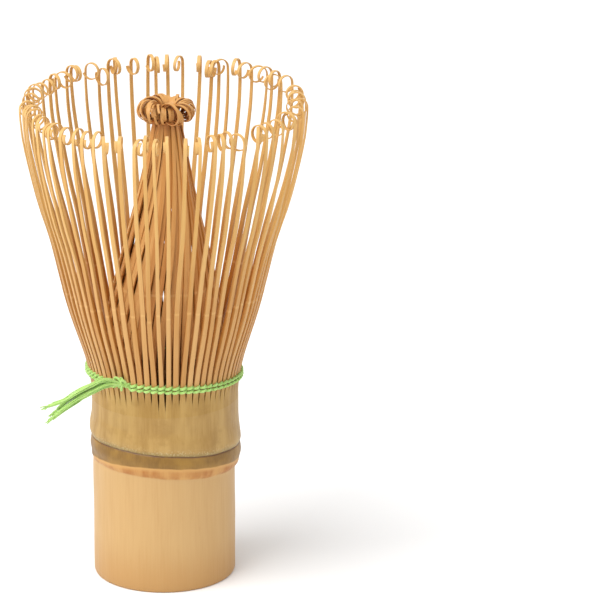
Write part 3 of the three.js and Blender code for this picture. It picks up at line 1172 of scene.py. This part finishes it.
def tine_finish(name, light, deep, skin_tip_and_shade, cut_tip, pale_back, golden):
    """A curl gets one colour on its skin side and another on the side that was split; on the knob the
    skin side lies inside the curls, and its colour is painted shade.
    """
    material, tree, shader, where = start_material(name)
    run = attribute(tree, "tine_run")
    tone = attribute(tree, "tine_tone")
    skin_side = attribute(tree, "tine_skin")
    across = times(tree, attribute(tree, "tine_side"), MM)
    on_strip = add_node(tree, "CombineXYZ", X=across, Y=tone, Z=times(tree, run, MM)).outputs[0]
    fibres = place_group(tree, fibre_group, Vector=on_strip, Fineness=FIBRE_FINENESS)
    body = mix(tree, tone, deep, light)
    body = mix(tree, times(tree, fibres["Streaks"], 0.45), body, light)
    body = mix(tree, times(tree, fibres["Clouds"], 0.3), body, deep)
    body = mix(tree, between(tree, run, *GOLD_BAND, 0, golden), body, GOLD)
    # Painted shade: the cut sides darken towards the roots.
    cut_face_and_shade = mix(tree, between(tree, run, *CUT_SHADE_BAND), CUT_SIDE, CUT_SIDE_SHADE)
    cut_face_and_shade = mix(tree, between(tree, run, *PALE_BAND, 0, pale_back), cut_face_and_shade, body)
    body = mix(tree, calculate(tree, "MULTIPLY_ADD", skin_side, 0.8, 0.1), cut_face_and_shade, body)
    skin = place_group(tree, skin_group, Vector=where)["Color"]
    # At the root the skin side takes the skin colour and the cut side painted shade.
    root_skin_and_shade = mix(tree, skin_side, CUT_SIDE_SHADE, skin)
    body = mix(tree, between(tree, run, *ROOT_BAND), body, root_skin_and_shade)
    # A painted highlight along the shaving step, mixed in at 0.3.
    from_highlight = calculate(tree, "ABSOLUTE", calculate(tree, "SUBTRACT", run, STEP_HIGHLIGHT_RUN))
    body = mix(tree, times(tree, between(tree, from_highlight, *STEP_HIGHLIGHT_BAND), 0.3), body, STEP_HIGHLIGHT)
    # The tips: on the knob the skin side, inside the curls, is painted shade.
    tip = mix(tree, skin_side, cut_tip, skin_tip_and_shade)
    body = mix(tree, between(tree, run, *CURL_BAND, 0, 0.65), body, tip)
    finish_surface(tree, shader, body, between(tree, fibres["Streaks"], 0, 1, 0.56, 0.44),
                   relief=fibres["Streaks"], strength=0.15, depth=0.03 * MM, specular=0.4)
    return material


# The outer curls turn inwards and the knob's outwards, so the skin is outside on one and inside
# on the other.
outer_finish = tine_finish("bamboo_outer_tines", HONEY, HONEY_DEEP, skin_tip_and_shade=CURL_OUTSIDE,
                           cut_tip=CURL_INSIDE, pale_back=0.95, golden=0.5)
# The knob's inside colour is painted shade in the hollow of its curls.
inner_finish = tine_finish("bamboo_inner_tines", INNER_HONEY, INNER_DEEP, skin_tip_and_shade=KNOB_INSIDE_SHADE,
                           cut_tip=KNOB_OUTSIDE, pale_back=0, golden=0.1)
for piece in outer_pieces:
    wear_only(piece, outer_finish)
for piece in inner_pieces:
    wear_only(piece, inner_finish)
print("tine finishes ready")

# %% The thread's finish: leaf-green cotton
LEAF = paint(190, 220, 140)
LEAF_DEEP = paint(150, 196, 88)
COTTON_SHEEN = 0.25

thread_finish, tree, shader, where = start_material("green_cotton")
lint = noise(tree, where, scale=5200, roughness=0.6)
colour = mix(tree, between(tree, lint, 0.3, 0.7), LEAF_DEEP, LEAF)
finish_surface(tree, shader, colour, between(tree, lint, 0.2, 0.8, 0.92, 0.8),
               relief=lint, strength=0.35, depth=0.05 * MM, specular=0.15)
shader.inputs["Sheen Weight"].default_value = COTTON_SHEEN
for piece in [*thread_legs.values(), knot, frays]:
    wear_only(piece, thread_finish)
print("thread finish has", len(tree.nodes), "nodes")

# %% [markdown]
# ## Floor and light
#
# The whisk stands on a plain pale floor. A large soft lamp at the left front gives the handle its
# bright left side, a weaker one at the right fills the shadows, and the pale sky does the rest.

# %% The floor
FLOOR_SIZE = 8.0
FLOOR_PALE = paint(246, 246, 246)
FLOOR_PALER = paint(250, 250, 250)
bpy.ops.object.select_all(action="DESELECT")
bpy.ops.mesh.primitive_plane_add(size=FLOOR_SIZE, location=(0, 0, 0))
floor = bpy.context.object
floor.name = "floor"
floor_finish, tree, shader, where = start_material("pale_floor")
colour = mix(tree, noise(tree, where, scale=3, detail=2), FLOOR_PALE, FLOOR_PALER)
connect(tree, colour, shader.inputs["Base Color"])
shader.inputs["Roughness"].default_value = 0.7
wear_only(floor, floor_finish)
print("the floor is", FLOOR_SIZE, "m wide")

# %% Lamps and sky
LAMP_AIM = Vector((0, 0, 0.05))
SKY_STRENGTH = 0.7


def soft_lamp(name, place, size, power):
    lamp = bpy.data.lights.new(name, "AREA")
    lamp.size = size
    lamp.energy = power
    holder = bpy.data.objects.new(name, lamp)
    bpy.context.scene.collection.objects.link(holder)
    holder.location = place
    holder.rotation_euler = (LAMP_AIM - Vector(place)).to_track_quat("-Z", "Y").to_euler()


soft_lamp("key", place=(-0.75, -0.45, 1.25), size=1.3, power=24)
soft_lamp("fill", place=(0.8, -0.6, 0.7), size=0.8, power=1.5)
sky = bpy.data.worlds.new("pale_sky")
sky.use_nodes = True
background = sky.node_tree.nodes["Background"]
background.inputs["Color"].default_value = (1, 1, 1, 1)
background.inputs["Strength"].default_value = SKY_STRENGTH
bpy.context.scene.world = sky
bpy.context.scene.view_settings.view_transform = "Standard"
print("lamps:", len(bpy.data.lights))
